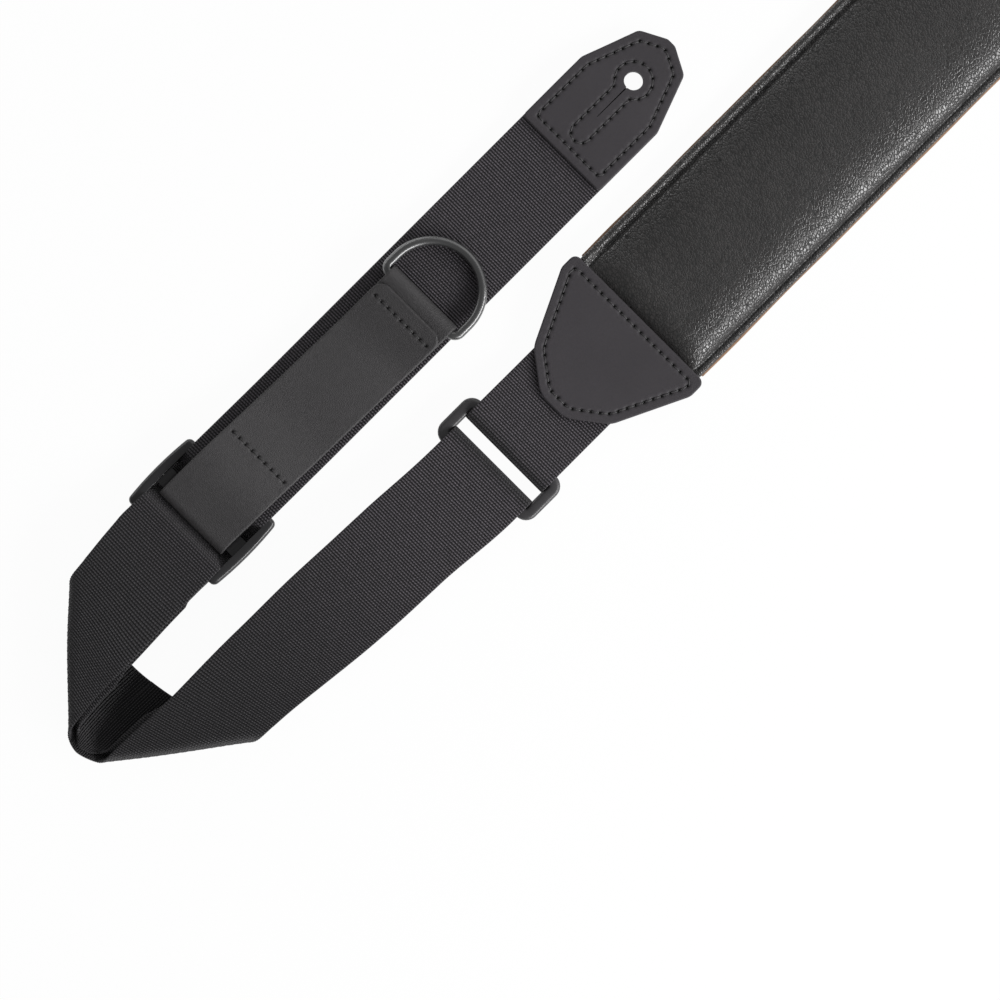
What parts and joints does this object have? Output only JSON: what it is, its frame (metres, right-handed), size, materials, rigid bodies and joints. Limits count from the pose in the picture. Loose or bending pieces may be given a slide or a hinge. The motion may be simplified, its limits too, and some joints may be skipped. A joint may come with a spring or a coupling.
{
  "type": "guitar strap",
  "caption": "Padded guitar strap: a crowned leather pad, leather ends with keyhole button holes, and a folded webbing run with a loop ring, a slider, a leather pull tab and a D-ring.",
  "frame": {"origin": "middle of the pad's back face", "axes": "+X along the pad towards the rear tab, +Y across to the webbing run beside the pad, +Z out of the pad's front"},
  "size_m": [0.9508, 0.1544, 0.0178],
  "materials": {
    "pad_leather": "fine-grained garment leather, semi-gloss",
    "leather": "matte charcoal leather",
    "backing": "tan suede backing",
    "webbing": "ribbed woven webbing",
    "thread": "bonded sewing thread",
    "plastic": "satin moulded plastic",
    "black_wire": "black coated steel wire",
    "foam": "open-cell padding"
  },
  "bodies": {
    "pad": {"pad_cover": "pad_leather", "pad_foam": "foam", "pad_backing": "backing", "yoke_back_leather": "leather", "yoke_front_leather": "leather", "yoke_stitching": "thread", "short_webbing_loop": "webbing", "rear_tab_back_leather": "leather", "rear_tab_front_leather": "leather", "rear_tab_stitching": "thread", "rear_tab_keyhole_stitching": "thread"},
    "ring": {"loop_ring": "plastic"},
    "strap": {"webbing_main_run": "webbing", "webbing_return_run": "webbing", "end_tab_back_leather": "leather", "end_tab_front_leather": "leather", "end_tab_stitching": "thread", "end_tab_keyhole_stitching": "thread"},
    "slider": {"slider": "plastic", "pull_tab_leather": "leather", "pull_tab_ring_stitching": "thread", "pull_tab_slider_stitching": "thread", "return_end_stitching": "thread"},
    "d_ring": {"d_ring": "black_wire"}
  },
  "joints": [
    {"name": "ring_hinge", "type": "hinge", "parent": "pad", "child": "ring", "pos_m": [-0.35365, 0, 0.0052], "axis": [0, 1, 0], "range_deg": [-60, 60]},
    {"name": "strap_hinge", "type": "hinge", "parent": "ring", "child": "strap", "pos_m": [-0.37415, 0, 0.0052], "axis": [0, 1, 0], "range_deg": [-60, 60]},
    {"name": "slider_slide", "type": "slide", "parent": "strap", "child": "slider", "axis": [1, 0, 0], "range_m": [-0.025, 0.06], "deforming": ["webbing_main_run", "webbing_return_run"]},
    {"name": "d_ring_hinge", "type": "hinge", "parent": "slider", "child": "d_ring", "pos_m": [-0.3386, 0.0813, 0.00895], "axis": [0, -1, 0], "range_deg": [0, 160]}
  ]
}
